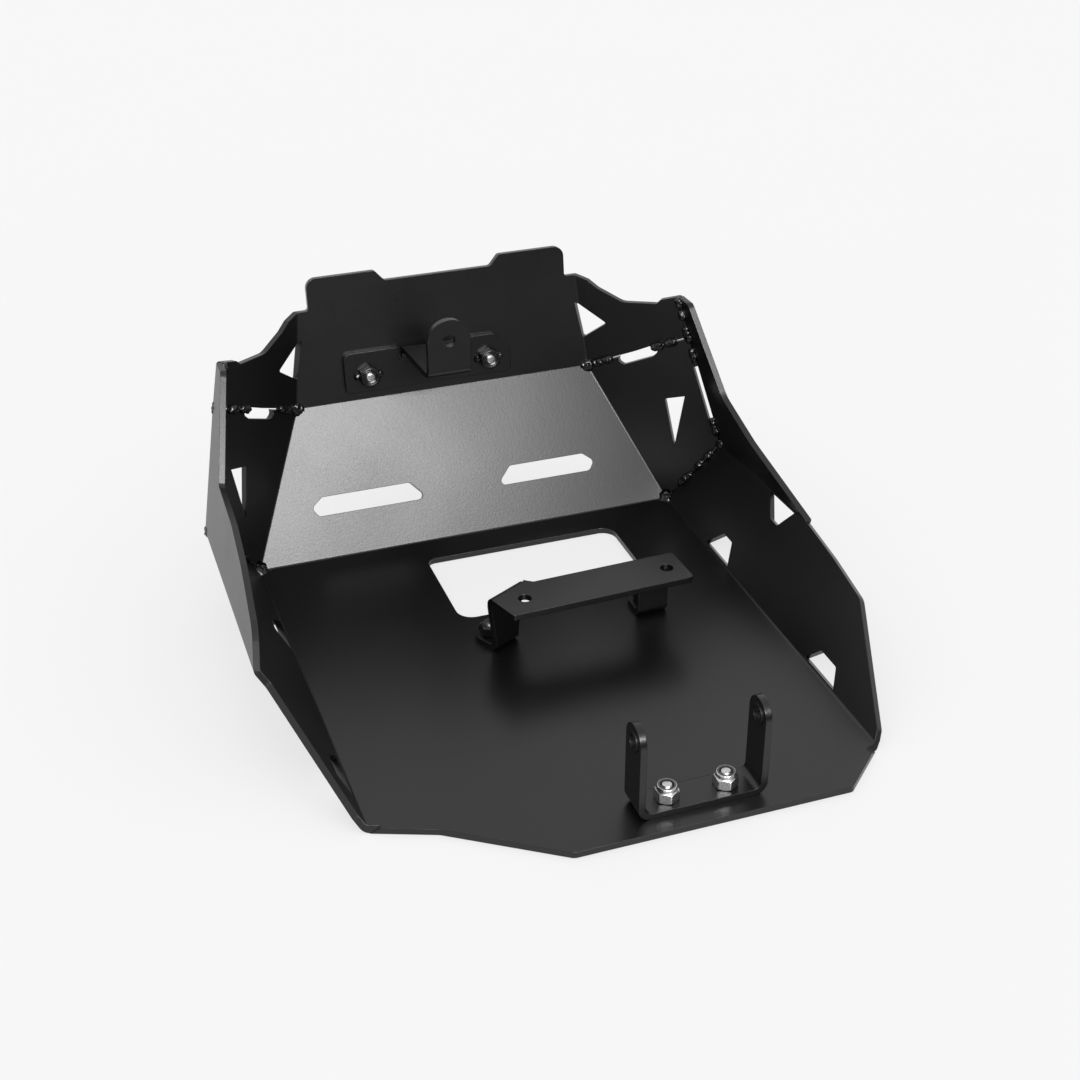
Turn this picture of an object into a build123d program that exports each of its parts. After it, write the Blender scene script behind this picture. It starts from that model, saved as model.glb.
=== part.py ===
from build123d import *
from math import cos, radians, sin, tan
import os

os.makedirs("parts", exist_ok=True)

# Skid plate of a motorcycle: an open tray folded from aluminium sheet, with its corner seams welded
# and three folded steel brackets bolted inside it. Millimetres. X is to the right, Y is forward and
# Z is up. The origin is the middle of the flat underside. Places in the tray are given as a distance
# back from the front fold of the bottom, and heights are measured from the bottom's inner face.

# Tray
sheet = 4.0
fold_radius = 2.0
seam_gap = 1.2
bottom_length = 342.0
bottom_half_width = 150.0
slope_angle = 61.0
slope_length = 104.6
upper_angle = 82.2
slope_top_half_width = 106.4
upper_fold_length = 67.6
upper_fold_drift = 7.3
ear_wing_yaw = 37.8
wing_angle = 56.5
wing_height = 56.8
wing_rise = 0.0456
flange_lean = 12.0
cheek_corner_height = 122.4
lower_relief = 5.0
upper_relief = 4.0
side_relief = 3.1
relief_start = 0.9

# Outlines of the tray's panels
rear_edge_left = 50.0
rear_edge_right = 119.0
rear_cut_right = 33.0
rear_cut_slant = 35.0
rear_left_mid = (113.0, bottom_length - 43.0)
rear_left_end = bottom_length - 57.5
upper_height = 81.4
upper_middle_half = 37.5
ear_height = 88.8
ear_inner_half = 44.0
ear_half_width = 91.5
ear_corner = 7.0
wing_edge_right = ((185.6, 59.7), (228.4, 54.0), (305.2, 7.0))
wing_edge_left = ((199.0, 56.6), (278.0, 6.5))
flange_top = 106.2
flange_edge = ((4.7, 106.2), (37.0, 45.5), (72.7, 25.9), (144.6, 0.0))
flange_edge_left = ((4.7, 106.2), (42.4, 43.5), (92.2, 40.8), (130.1, 33.3), (178.0, 17.5), (195.0, 0.0))
flange_corners = (6.0, 16.0, 40.0, 0.0)
flange_corners_left = (6.0, 4.0, 40.0, 30.0, 30.0, 0.0)
wing_corners = (20.0, 14.0, 6.0)
wing_corners_left = (6.0, 6.0)
ear_wing_edge = ((-1.9, 63.6), (5.5, 58.6), (24.4, 50.6), (48.6, 52.6), (51.8, 56.0), (64.0, 59.8))
ear_wing_corners = (4.0, 12.0, 2.0, 2.0)
upper_corners = (3.0, 3.0, ear_corner, 2.0)
rear_corners = (4.0, 12.0, 6.0, 4.0)

# Openings in the tray
window_left = 39.2
window_right = 97.0
window_front = 24.2
window_rear = 103.2
slot_low = 29.6
slot_high = 42.4
slot_inner = 36.7
slot_outer_left = 99.5
slot_outer_right = 92.5
slot_slant = 11.5
slot_point = 8.0
window_corners = (6.0, 10.0, 11.0, 11.0)
wing_window_a = ((67.8, 1.6), (79.7, 15.4), (92.6, 15.4), (102.9, 1.6))
wing_window_b = ((218.3, 1.8), (227.3, 12.8), (246.6, 12.8), (256.0, 1.8))
wing_window_c = ((95.6, 60.2), (112.2, 47.2), (122.3, 46.9), (130.0, 61.4))
ear_window = ((-10.5, 47.0), (13.2, 33.4), (-3.9, 20.4))
cheek_window = ((65.6, -38.6), (60.5, -52.6), (31.6, -26.0))
ear_window_corners = (0.0, 1.2, 1.2)
cheek_window_corners = (1.0, 0.0, 0.0)
wing_window_corners = (0.0, 2.5, 2.5, 0.0)
wing_notch_corners = (0.0, 2.0, 2.0, 0.0)
cheek_slot = ((108.6, -20.6), (103.0, -52.6), (97.6, -52.6), (96.2, -46.7), (101.0, -24.4))
seam_slot_start = 19.5
seam_slot_end = 59.0
seam_slot_width = 3.2

# Fasteners, M8. Their turned forms and the holes that they fill have 24 sides.
thread_radius = 4.0
thread_fit = 0.05
hole_radius = 4.25
nut_flats = 13.0
weld_nut_height = 6.5
lock_nut_height = 9.5
lock_collar_height = 2.6
lock_ring_radius = 5.2
seat_clearance = 0.05
head_radius = hole_radius + sheet - seat_clearance
end_proud = 0.3
nut_land = 6.1
turned_sides = 24
tack_radius = 3.2

# Welds
bead_radius = 2.6
bead_lift = 0.6
blob_margin = 0.9
corner_blob_radius = 3.6
upper_seam_beads = ((0.09, 0.14), (0.18, 0.23), (0.66, 0.72), (0.80, 0.86))
top_seam_beads = ((0.14, 0.24), (0.52, 0.62), (0.80, 0.94))
side_seam_beads = ((0.11, 0.15), (0.19, 0.23), (0.79, 0.88))
lower_seam_beads = ((0.30, 0.44), (0.60, 0.66), (0.75, 0.83))

# Brackets, all folded from the same steel strip
strap = 4.0
bend = 3.0

# Front bracket: a strip on the upper plate, a shelf reaching back and an upright eye
front_x = -12.0
front_half_length = 59.5
front_low = 6.5
front_high = 34.5
front_corner = 5.0
front_slant = 11.0
front_nut_height = 18.0
front_nut_half = 43.2
shelf_height = 127.0
shelf_back_half = 19.0
shelf_notch = 2.0
eye_half_width = 14.75
eye_back = 2.0
eye_height = 150.6

# Middle bracket: a raised bar on two legs
mid_bend = 1.0
mid_x = 35.5
mid_back = 152.75
mid_yaw = 2.2
mid_height = 42.0
mid_half_width = 16.1
mid_right_end = 60.1
mid_hole_half = 48.5
mid_tip = (-69.5, 10.3)
mid_peak = (-44.5, 22.5)
mid_peak_flat = 8.0
mid_near_left = -62.0
mid_corner = 3.0
foot_length = 20.5
foot_half_width = 10.3
mid_leg_x = 45.7
mid_notch = 1.5

# Rear bracket: a channel with two drilled ears
rear_x = 31.0
rear_back = bottom_length - 22.0
rear_half_span = 39.2
rear_half_width = 10.5
rear_bend = 4.0
rear_pin_height = 49.0
rear_nut_half = 18.0
bush_radius = 6.4
bush_bore = 4.25
bush_proud = 0.8

front_fold = bottom_length / 2
deep = 2 * sheet
block = 2 * (bottom_length + bottom_half_width)


def unit(vector):
    return vector.normalized()


def at(x, back, height):
    """A point from its place across, behind the front fold and above the bottom's inner face."""
    return Vector(x, front_fold - back, sheet + height)


def meeting(*planes):
    """The point where three planes meet."""
    a, b, c = [Vector(p.z_dir) for p in planes]
    total = (
        b.cross(c) * a.dot(Vector(planes[0].origin))
        + c.cross(a) * b.dot(Vector(planes[1].origin))
        + a.cross(b) * c.dot(Vector(planes[2].origin))
    )
    return total * (1 / a.dot(b.cross(c)))


def other_side(plane):
    """The mirror image of a right-hand wall, with its normal still towards the inside."""
    o, x, z = Vector(plane.origin), Vector(plane.x_dir), Vector(plane.z_dir)
    return Plane(origin=(-o.X, o.Y, o.Z), x_dir=(-x.X, x.Y, x.Z), z_dir=(-z.X, z.Y, z.Z))


def through_cut(plane, points, depth, radius=0.0):
    """A prism square to a wall, through its whole thickness, with rounded corners."""
    with BuildPart() as cutter:
        with BuildSketch(plane):
            with BuildLine():
                FilletPolyline(*points, radius=radius, close=True)
            make_face()
        extrude(amount=depth, both=True)
    return cutter.part


# Inner faces of the walls. Every normal points to the inside of the tray.
slope, upper, wing = radians(slope_angle), radians(upper_angle), radians(wing_angle)
bottom_plane = Plane(origin=at(0, 0, 0), x_dir=(1, 0, 0), z_dir=(0, 0, 1))
slope_plane = Plane(origin=at(0, 0, 0), x_dir=(1, 0, 0), z_dir=(0, -sin(slope), cos(slope)))
upper_plane = Plane(
    origin=at(0, -slope_length * cos(slope), slope_length * sin(slope)),
    x_dir=(1, 0, 0),
    z_dir=(0, -sin(upper), cos(upper)),
)
wing_plane = Plane(
    origin=at(bottom_half_width, 0, 0), x_dir=(0, -1, 0), z_dir=(-sin(wing), 0, cos(wing))
)

wing_fold_start = Vector(wing_plane.from_local_coords((0, wing_height, 0)))
wing_fold_dir = unit(Vector(cos(wing) * wing_rise, -1, sin(wing) * wing_rise))
lean_up = Vector(-sin(radians(flange_lean)), 0, cos(radians(flange_lean)))
flange_up = unit(lean_up - wing_fold_dir * lean_up.dot(wing_fold_dir))
flange_plane = Plane(
    origin=wing_fold_start, x_dir=wing_fold_dir, z_dir=wing_fold_dir.cross(flange_up)
)

lower_corner = at(bottom_half_width, 0, 0)
upper_corner = Vector(upper_plane.from_local_coords((slope_top_half_width, 0, 0)))
ear_fold_end = Vector(
    upper_plane.from_local_coords(
        (slope_top_half_width - upper_fold_drift, upper_fold_length, 0)
    )
)
yaw = radians(ear_wing_yaw)
ear_out = Vector(cos(yaw), -sin(yaw), 0)
ear_plane = Plane(
    origin=upper_corner, x_dir=ear_out, z_dir=unit(ear_out.cross(ear_fold_end - upper_corner))
)

level_plane = Plane(origin=at(0, 0, cheek_corner_height), z_dir=(0, 0, 1))
outer_corner = meeting(ear_plane, flange_plane, level_plane)
cheek_x = unit(upper_corner - lower_corner)
cheek_plane = Plane(
    origin=lower_corner,
    x_dir=cheek_x,
    z_dir=unit((outer_corner - lower_corner).cross(cheek_x)),
)
side_corner = meeting(cheek_plane, flange_plane, wing_plane)
flange_end = Plane(origin=flange_plane.from_local_coords((0, flange_top, 0)), z_dir=flange_up)
top_corner = meeting(ear_plane, flange_plane, flange_end)

side_walls = [wing_plane, flange_plane, cheek_plane, ear_plane]
walls = [bottom_plane, slope_plane, upper_plane]
walls += side_walls + [other_side(wall) for wall in side_walls]

# The space inside the tray, open above and at the rear
with BuildPart() as inside:
    Box(block, block, block)
    for wall in walls:
        split(bisect_by=wall, keep=Keep.TOP)

# The tray's outer form, one sheet outside it
with BuildPart() as outside:
    with BuildSketch(Plane.XY.offset(-sheet)):
        Rectangle(block - sheet, block - sheet)
    extrude(amount=block / 2 - sheet)
    for wall in walls:
        split(bisect_by=wall.offset(-sheet), keep=Keep.TOP)

# The folded sheet
with BuildPart() as skid_pan:
    add(outside.part)
    add(inside.part, mode=Mode.SUBTRACT)


def seam_cut(start, end, first, second, width, over):
    """A slit along a seam, in the plane that halves the angle between its two walls."""
    along = unit(end - start)
    inward = unit(Vector(first.z_dir) + Vector(second.z_dir))
    centre = (start + end) * 0.5
    slit = Plane(origin=centre, x_dir=along, z_dir=along.cross(inward))
    with BuildPart() as cutter:
        with BuildSketch(slit):
            Rectangle((end - start).length + 2 * over, 2 * deep)
        extrude(amount=width / 2, both=True)
    return cutter.part


def corner_relief(corner, planes, radius, opened=False):
    """A hole through a corner where several folds end: small and round, then opened to eight sides."""
    outward = Vector(0, 0, 0)
    for plane in planes:
        outward = outward - Vector(plane.z_dir)
    with BuildPart() as cutter:
        with BuildSketch(Plane(origin=corner, z_dir=outward)):
            if opened:
                RegularPolygon(radius, 8)
            else:
                Circle(relief_start * radius)
        extrude(amount=deep, both=True)
    return cutter.part


seams = [
    (lower_corner, side_corner, cheek_plane, wing_plane),
    (side_corner, outer_corner, cheek_plane, flange_plane),
    (outer_corner, top_corner, ear_plane, flange_plane),
    (upper_corner, outer_corner, cheek_plane, ear_plane),
]
right_cuts = [seam_cut(*seam, seam_gap, sheet) for seam in seams]
reliefs = [
    (lower_corner, (bottom_plane, slope_plane, wing_plane), lower_relief),
    (upper_corner, (slope_plane, upper_plane, cheek_plane, ear_plane), upper_relief),
    (side_corner, (wing_plane, flange_plane, cheek_plane), side_relief),
]
for relief in reliefs:
    right_cuts.append(corner_relief(*relief))
open_corners = len(right_cuts)
for relief in reliefs:
    right_cuts.append(corner_relief(*relief, opened=True))

# Trims that leave each panel's own outline
upper_edge = [
    (0, upper_height),
    (upper_middle_half, upper_height),
    (ear_inner_half, ear_height),
    (ear_half_width, ear_height),
    (ear_half_width, upper_fold_length - 0.4),
    (block / 3, upper_fold_length - 0.4),
    (block / 3, block),
    (0, block),
]
right_cuts.append(through_cut(upper_plane, upper_edge, deep, [0, *upper_corners, 0, 0, 0]))
ear_fold_local = ear_plane.to_local_coords(ear_fold_end)
ear_edge = [(ear_fold_local.X - 2.0, ear_fold_local.Y - 0.2), *ear_wing_edge]
ear_edge += [(block / 4, ear_wing_edge[-1][1]), (block / 4, block)]
ear_edge += [(ear_fold_local.X * block / ear_fold_local.Y - 2.0, block)]
right_cuts.append(through_cut(ear_plane, ear_edge, deep, [0, 0, *ear_wing_corners, 0, 0, 0, 0]))


def flange_trim(edge, corners):
    """What is cut from a side flange above and behind its free edge."""
    points = [(-block / 4, flange_top), *edge, (block, edge[-1][1])]
    points += [(block, block), (-block / 4, block)]
    return through_cut(flange_plane, points, deep, [0, *corners, 0, 0, 0])


def wing_trim(edge, corners, start, end):
    """What is cut from a lower wing behind and above its free edge."""
    low = -sheet
    points = [(start, wing_height + wing_rise * start), *edge, (end, low)]
    points += [(block, low), (block, block / 4), (start, block / 4)]
    return through_cut(wing_plane, points, deep, [0, *corners, 0, 0, 0, 0])


right_rear_end = bottom_length - rear_cut_right
right_only = [
    flange_trim(flange_edge, flange_corners),
    wing_trim(wing_edge_right, wing_corners, flange_edge[-1][0], right_rear_end + 4.0),
]
left_only = [
    flange_trim(flange_edge_left, flange_corners_left),
    wing_trim(wing_edge_left, wing_corners_left, flange_edge_left[-1][0], rear_left_end),
]
rear_trim = [
    (-block / 3, -rear_left_end),
    (-bottom_half_width, -rear_left_end),
    (-rear_left_mid[0], -rear_left_mid[1]),
    (-rear_edge_left, -bottom_length),
    (rear_edge_right, -bottom_length),
    (rear_edge_right + rear_cut_slant, -right_rear_end),
    (block / 3, -right_rear_end),
    (block / 3, -block),
    (-block / 3, -block),
]
rear_radii = [0, *rear_corners, 0, 0, 0, 0]
rear_cut = through_cut(bottom_plane, rear_trim, deep, rear_radii)


# Openings that both sides share
seam_along = unit(outer_corner - side_corner)
seam_across = unit(Vector(cheek_plane.z_dir).cross(seam_along))
if seam_across.X > 0:
    seam_across = -seam_across
seam_slot = [
    side_corner + seam_along * seam_slot_start,
    side_corner + seam_along * seam_slot_end,
    side_corner + seam_along * seam_slot_end + seam_across * seam_slot_width,
    side_corner + seam_along * seam_slot_start + seam_across * seam_slot_width,
]
seam_slot = [cheek_plane.to_local_coords(corner) for corner in seam_slot]
right_cuts.append(through_cut(cheek_plane, [(p.X, p.Y) for p in seam_slot], deep, 0))
right_cuts.append(through_cut(ear_plane, ear_window, deep, ear_window_corners))
right_cuts.append(through_cut(cheek_plane, cheek_window, deep, cheek_window_corners))
right_cuts.append(through_cut(cheek_plane, cheek_slot, deep, (3, 2, 3, 3, 3)))
right_cuts.append(through_cut(wing_plane, wing_window_a, deep, wing_window_corners))
right_cuts.append(through_cut(wing_plane, wing_window_b, deep, wing_window_corners))
right_cuts.append(through_cut(wing_plane, wing_window_c, sheet, wing_notch_corners))


def slope_slot(outer):
    """A long slot across the slope, slanted at its inner end and pointed at its outer end."""
    middle = (slot_low + slot_high) / 2
    points = [(slot_inner, slot_high), (outer, slot_high), (outer + slot_point, middle)]
    points += [(outer + slot_point / 2, slot_low), (slot_inner - slot_slant, slot_low)]
    return through_cut(slope_plane, points, deep, (3, 4, 3, 4, 3))


right_only.append(slope_slot(slot_outer_right))
left_only.append(slope_slot(slot_outer_left))
window = [(-window_left, -window_front), (window_right, -window_front)]
window += [(window_right, -window_rear), (-window_left, -window_rear)]
window_cut = through_cut(bottom_plane, window, deep, window_corners)


def on_both(first, second):
    """Picks the straight edges that lie in two walls, on their inner or on their outer faces."""

    def lies(edge):
        ends = [edge @ 0, edge @ 1]
        for offset in (0.0, -sheet):
            level = [
                abs(Vector(w.z_dir).dot(end - Vector(w.origin)) - offset)
                for w in (first, second)
                for end in ends
            ]
            if max(level) < 0.01:
                return True
        return False

    return lies


folds = [(bottom_plane, slope_plane), (slope_plane, upper_plane)]
for side in (lambda wall: wall, other_side):
    folds += [(bottom_plane, side(wing_plane)), (side(wing_plane), side(flange_plane))]
    folds += [(slope_plane, side(cheek_plane)), (upper_plane, side(ear_plane))]


def fold_edges(shape, inner):
    """The edges of all folds, either on the inside or on the outside of the sheet."""
    chosen = ShapeList()
    for first, second in folds:
        for edge in shape.edges().filter_by(GeomType.LINE).filter_by(on_both(first, second)):
            height = Vector(first.z_dir).dot(edge @ 0.5 - Vector(first.origin))
            if (height > -sheet / 2) == inner:
                chosen.append(edge)
    return chosen


# Middle bracket places, needed by the holes below it
turn = radians(mid_yaw)
mid_plane = Plane(
    origin=at(mid_x, mid_back, mid_height - strap), x_dir=(cos(turn), sin(turn), 0), z_dir=(0, 0, 1)
)


def leg_plane(start, end):
    """Upright plane across a bar edge: x is outward from the edge, y is up from the bottom."""
    a = Vector(mid_plane.from_local_coords((*start, 0)))
    b = Vector(mid_plane.from_local_coords((*end, 0)))
    outward = Vector(0, 0, 1).cross(unit(b - a))
    foot = (a + b) * 0.5
    return Plane(
        origin=(foot.X, foot.Y, sheet), x_dir=outward, z_dir=outward.cross(Vector(0, 0, 1))
    )


right_leg_edge = (
    (mid_leg_x - foot_half_width, mid_half_width),
    (mid_leg_x + foot_half_width, mid_half_width),
)
left_leg = leg_plane(mid_tip, mid_peak)
right_leg = leg_plane(*right_leg_edge)
left_leg_half = (Vector(*mid_peak) - Vector(*mid_tip)).length / 2
foot_nut = foot_length - foot_half_width


def seat(plane, x, lift):
    """The level plane of a nut's seat on a foot."""
    spot = Vector(plane.from_local_coords((x, lift, 0)))
    return Plane(origin=spot, x_dir=plane.x_dir, z_dir=(0, 0, 1))


mid_seats = [seat(leg, foot_nut, strap) for leg in (left_leg, right_leg)]
rear_seats = [
    Plane(origin=at(rear_x + side * rear_nut_half, rear_back, strap), z_dir=(0, 0, 1))
    for side in (-1, 1)
]
front_seats = [
    Plane(
        origin=upper_plane.from_local_coords(
            (front_x + side * front_nut_half, front_nut_height, strap)
        ),
        x_dir=(1, 0, 0),
        z_dir=upper_plane.z_dir,
    )
    for side in (-1, 1)
]
seats = front_seats + mid_seats + rear_seats

def many_sided(place, low, high, height):
    """A turned form: straight, or tapered from one radius to the other."""
    with BuildPart() as made:
        with BuildSketch(place):
            RegularPolygon(low, turned_sides)
        with BuildSketch(place.offset(height)):
            RegularPolygon(high, turned_sides)
        loft(ruled=True)
    return made.part


def bolt_form(start, radius, length):
    """A countersunk head through the sheet and the shank above it."""
    with BuildPart() as made:
        add(many_sided(start, radius + sheet, radius, sheet))
        add(many_sided(start.offset(sheet), radius, radius, length - sheet))
    return made.part


with skid_pan:
    for cutter in right_cuts[:open_corners]:
        add(cutter, mode=Mode.SUBTRACT)
        mirror(cutter, about=Plane.YZ, mode=Mode.SUBTRACT)
    fillet(fold_edges(skid_pan, True), fold_radius)
    fillet(fold_edges(skid_pan, False), fold_radius + sheet)
    for cutter in right_cuts[open_corners:]:
        add(cutter, mode=Mode.SUBTRACT)
        mirror(cutter, about=Plane.YZ, mode=Mode.SUBTRACT)
    for cutter in right_only:
        add(cutter, mode=Mode.SUBTRACT)
    for cutter in left_only:
        mirror(cutter, about=Plane.YZ, mode=Mode.SUBTRACT)
    add(rear_cut, mode=Mode.SUBTRACT)
    add(window_cut, mode=Mode.SUBTRACT)
    for place in seats:
        add(bolt_form(place.offset(-strap - sheet), hole_radius, deep), mode=Mode.SUBTRACT)
skid_pan.part.label = "skid_pan"
export_step(skid_pan.part, "parts/skid_pan.step")
print("pan", len(skid_pan.part.solids()), skid_pan.part.volume, skid_pan.part.is_valid)


# Front bracket
strip = [
    (front_x - front_half_length, front_low),
    (front_x - front_half_length, front_high),
    (front_x - shelf_back_half - shelf_notch, front_high),
    (front_x - shelf_back_half - shelf_notch, front_high - bend - strap - shelf_notch),
    (front_x + shelf_back_half + shelf_notch, front_high - bend - strap - shelf_notch),
    (front_x + shelf_back_half + shelf_notch, front_high),
    (front_x + front_half_length - front_slant, front_high),
    (front_x + front_half_length, front_high - front_slant),
    (front_x + front_half_length, front_low),
]
middle_radius = bend + strap / 2
eye_y = front_fold - eye_back + strap / 2
foot_point = Vector(upper_plane.from_local_coords((front_x, front_nut_height, strap / 2)))
shelf_z = sheet + shelf_height - strap / 2
bend_y = foot_point.Y + (shelf_z - foot_point.Z) / tan(upper)
shelf_path = [
    (foot_point.Y, foot_point.Z),
    (bend_y, shelf_z),
    (eye_y, shelf_z),
    (eye_y, sheet + eye_height + 2 * eye_half_width),
]
eye_plane = Plane(
    origin=(front_x, eye_y - strap / 2, sheet + eye_height), x_dir=(1, 0, 0), z_dir=(0, -1, 0)
)
with BuildPart() as shelf:
    with BuildSketch(Plane(origin=(front_x, 0, 0), x_dir=(0, 1, 0), z_dir=(1, 0, 0))):
        with BuildLine():
            FilletPolyline(*shelf_path, radius=middle_radius)
        trace(line_width=strap)
    extrude(amount=shelf_back_half, both=True)
    with BuildSketch(Plane.XY):
        with BuildLine():
            Polyline(
                (front_x - shelf_back_half, bend_y + strap),
                (front_x - eye_half_width, eye_y),
                (front_x - eye_half_width, eye_y - strap),
                (front_x + eye_half_width, eye_y - strap),
                (front_x + eye_half_width, eye_y),
                (front_x + shelf_back_half, bend_y + strap),
                (front_x - shelf_back_half, bend_y + strap),
            )
        make_face()
    extrude(amount=block, mode=Mode.INTERSECT)
    with BuildSketch(eye_plane):
        Circle(eye_half_width)
        Rectangle(
            4 * shelf_back_half, sheet + eye_height, align=(Align.CENTER, Align.MAX)
        )
    extrude(amount=block, both=True, mode=Mode.INTERSECT)

with BuildPart() as front_bracket:
    with BuildSketch(upper_plane):
        with BuildLine():
            FilletPolyline(*strip, radius=(3, front_corner, 0, 1, 1, 0, 2, 2, 3), close=True)
        make_face()
    extrude(amount=strap)
    add(shelf.part)
    for place in front_seats:
        add(many_sided(place.offset(-2 * strap), hole_radius, hole_radius, deep), mode=Mode.SUBTRACT)
    with Locations(eye_plane):
        Hole(radius=bush_bore, depth=2 * strap)
front_bracket.part.label = "front_bracket"
export_step(front_bracket.part, "parts/front_bracket.step")


# Middle bracket
def bend_gap(leg, half):
    """Room for a leg's bend at a bar edge."""
    level = Plane(
        origin=leg.from_local_coords((0, mid_height - strap, 0)), x_dir=leg.x_dir, z_dir=(0, 0, 1)
    )
    with BuildPart() as room:
        with BuildSketch(level):
            Rectangle(
                mid_half_width + strap + mid_bend, 2 * half, align=(Align.MIN, Align.CENTER)
            )
        extrude(amount=3 * strap, both=True)
    return room.part.moved(Location(Vector(leg.x_dir) * -(strap + mid_bend)))


def leg_solid(leg, top_half, bent):
    """A leg bent down from the bar or welded under it, and its foot bent outward, with a round end."""
    level = mid_height - strap / 2
    path = [(-strap / 2, level), (-strap / 2, strap / 2), (foot_length, strap / 2)]
    if bent:
        path.insert(0, (-strap - mid_bend - 1, level))
    across = Plane(origin=leg.origin, x_dir=leg.z_dir, z_dir=-leg.x_dir)
    low, high = 2 * strap, mid_height - 2 * strap
    with BuildPart() as made:
        with BuildSketch(leg):
            with BuildLine():
                FilletPolyline(*path, radius=mid_bend + strap / 2)
            trace(line_width=strap)
        extrude(amount=top_half, both=True)
        with BuildSketch(across):
            with BuildLine():
                Polyline(
                    (-foot_half_width, -strap),
                    (foot_half_width, -strap),
                    (foot_half_width, low),
                    (top_half, high),
                    (top_half, mid_height + strap),
                    (-top_half, mid_height + strap),
                    (-top_half, high),
                    (-foot_half_width, low),
                    (-foot_half_width, -strap),
                )
            make_face()
        extrude(amount=block, both=True, mode=Mode.INTERSECT)
        with BuildSketch(Plane(origin=leg.origin, x_dir=leg.x_dir, z_dir=(0, 0, 1))):
            with Locations((foot_nut, 0)):
                Circle(foot_half_width)
                Rectangle(block, 2 * top_half, align=(Align.MAX, Align.CENTER))
        extrude(amount=block, both=True, mode=Mode.INTERSECT)
    return made.part


bar = [
    (mid_near_left, -mid_half_width),
    (mid_right_end, -mid_half_width),
    (mid_right_end, mid_half_width),
    (mid_peak[0] + mid_peak_flat, mid_half_width),
    mid_peak,
    mid_tip,
]
with BuildPart() as mid_bracket:
    with BuildSketch(mid_plane):
        with BuildLine():
            FilletPolyline(*bar, radius=(2, mid_corner, mid_corner, 2, 0, 0), close=True)
        make_face()
    extrude(amount=strap)
    add(bend_gap(left_leg, left_leg_half + mid_notch), mode=Mode.SUBTRACT)
    add(leg_solid(left_leg, left_leg_half, True))
    add(leg_solid(right_leg, foot_half_width, False))
    with Locations(*[mid_plane.offset(strap)]):
        with Locations((-mid_hole_half, 0), (mid_hole_half, 0)):
            Hole(radius=hole_radius, depth=2 * strap)
    for place in mid_seats:
        add(many_sided(place.offset(-2 * strap), hole_radius, hole_radius, deep), mode=Mode.SUBTRACT)
mid_bracket.part.label = "mid_bracket"
export_step(mid_bracket.part, "parts/mid_bracket.step")


# Rear bracket
rear_plane = Plane(origin=at(rear_x, rear_back, 0), x_dir=(1, 0, 0), z_dir=(0, -1, 0))
ear_side = Plane(
    origin=at(rear_x, rear_back, rear_pin_height), x_dir=(0, 1, 0), z_dir=(1, 0, 0)
)
ear_middle = rear_half_span - strap / 2
ear_top = rear_pin_height + 2 * rear_half_width
with BuildPart() as rear_bracket:
    with BuildSketch(rear_plane):
        with BuildLine():
            FilletPolyline(
                (-ear_middle, ear_top),
                (-ear_middle, strap / 2),
                (ear_middle, strap / 2),
                (ear_middle, ear_top),
                radius=rear_bend + strap / 2,
            )
        trace(line_width=strap)
    extrude(amount=rear_half_width, both=True)
    with BuildSketch(ear_side):
        Circle(rear_half_width)
        Rectangle(
            2 * rear_half_width, rear_pin_height + sheet, align=(Align.CENTER, Align.MAX)
        )
    extrude(amount=block, both=True, mode=Mode.INTERSECT)
    with BuildSketch(ear_side):
        RegularPolygon(bush_radius, turned_sides)
    extrude(amount=block, both=True, mode=Mode.SUBTRACT)
    for place in rear_seats:
        add(many_sided(place.offset(-2 * strap), hole_radius, hole_radius, deep), mode=Mode.SUBTRACT)
rear_bracket.part.label = "rear_bracket"
export_step(rear_bracket.part, "parts/rear_bracket.step")

for side, name in ((-1, "left"), (1, "right")):
    with BuildPart() as bush:
        with BuildSketch(ear_side.offset(side * ear_middle)):
            RegularPolygon(bush_radius, turned_sides)
            Circle(bush_bore, mode=Mode.SUBTRACT)
        extrude(amount=strap / 2 + bush_proud, both=True)
    bush.part.label = "rear_bush_" + name
    export_step(bush.part, "parts/rear_bush_" + name + ".step")


# Bolts and nuts
def bolt(place, reach):
    """A countersunk bolt: its head is flush with the outer face, its end stands above the nut."""
    start = place.offset(-strap - sheet)
    length = sheet + strap + reach + end_proud
    neck = head_radius - thread_radius
    with BuildPart() as made:
        add(many_sided(start, head_radius, thread_radius, neck))
        add(many_sided(start.offset(neck), thread_radius, thread_radius, length - neck))
    return made.part


def hexagon(place, height, turned):
    """A hexagon nut with a bore that clears the thread, and with its top corners turned or plain."""
    slope_out = height / tan(radians(30))
    with BuildPart() as made:
        with BuildSketch(place):
            RegularPolygon(nut_flats / 2, 6, major_radius=False, rotation=30)
            RegularPolygon(thread_radius + thread_fit, turned_sides, mode=Mode.SUBTRACT)
        extrude(amount=height)
        if turned:
            add(many_sided(place, nut_land + slope_out, nut_land, height), mode=Mode.INTERSECT)
    return made.part


def weld_nut(place, name):
    nut = hexagon(place, weld_nut_height, False)
    nut.label = name
    export_step(nut, "parts/" + name + ".step")
    return nut


def tacks(places, carrier, nuts, label):
    """Small tack welds on both sides of each nut."""
    reach = nut_flats / 2 / cos(radians(30))
    with BuildPart() as made:
        for place in places:
            with BuildSketch(place):
                with Locations((-reach, 0), (reach, 0)):
                    RegularPolygon(tack_radius, 6)
            extrude(amount=0.8 * tack_radius, taper=20)
        for nut in nuts:
            add(nut, mode=Mode.SUBTRACT)
        add(carrier, mode=Mode.SUBTRACT)
    made.part.label = label
    export_step(made.part, "parts/" + label + ".step")
    print(label, len(made.part.solids()))


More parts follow.
